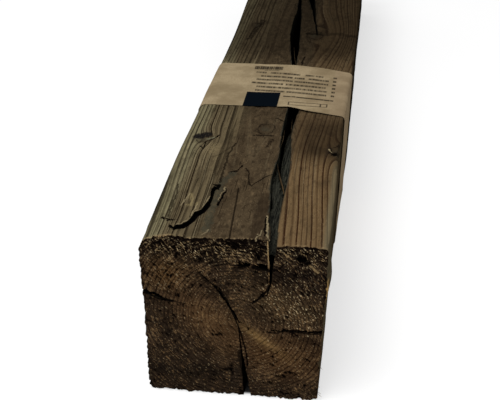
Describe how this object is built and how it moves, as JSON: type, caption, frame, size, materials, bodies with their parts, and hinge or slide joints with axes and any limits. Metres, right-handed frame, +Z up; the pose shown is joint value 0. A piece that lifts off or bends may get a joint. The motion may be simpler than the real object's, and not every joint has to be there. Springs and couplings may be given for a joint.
{
  "type": "reclaimed timber beam",
  "caption": "Square old softwood beam with drying checks, heart cracks and a rough sawn end, held in a kraft paper band.",
  "frame": {"origin": "under the middle of the beam, on the surface that it lies on", "axes": "+Y along the beam, away from the end that shows its heart, +X to the right across it as that end is seen, +Z up"},
  "size_m": [0.1453, 1, 0.1445],
  "materials": {
    "old_softwood": "rough sawn and weathered",
    "kraft_paper": "matte"
  },
  "bodies": {
    "root": {"beam": "old_softwood", "paper_band": "kraft_paper"}
  },
  "joints": []
}
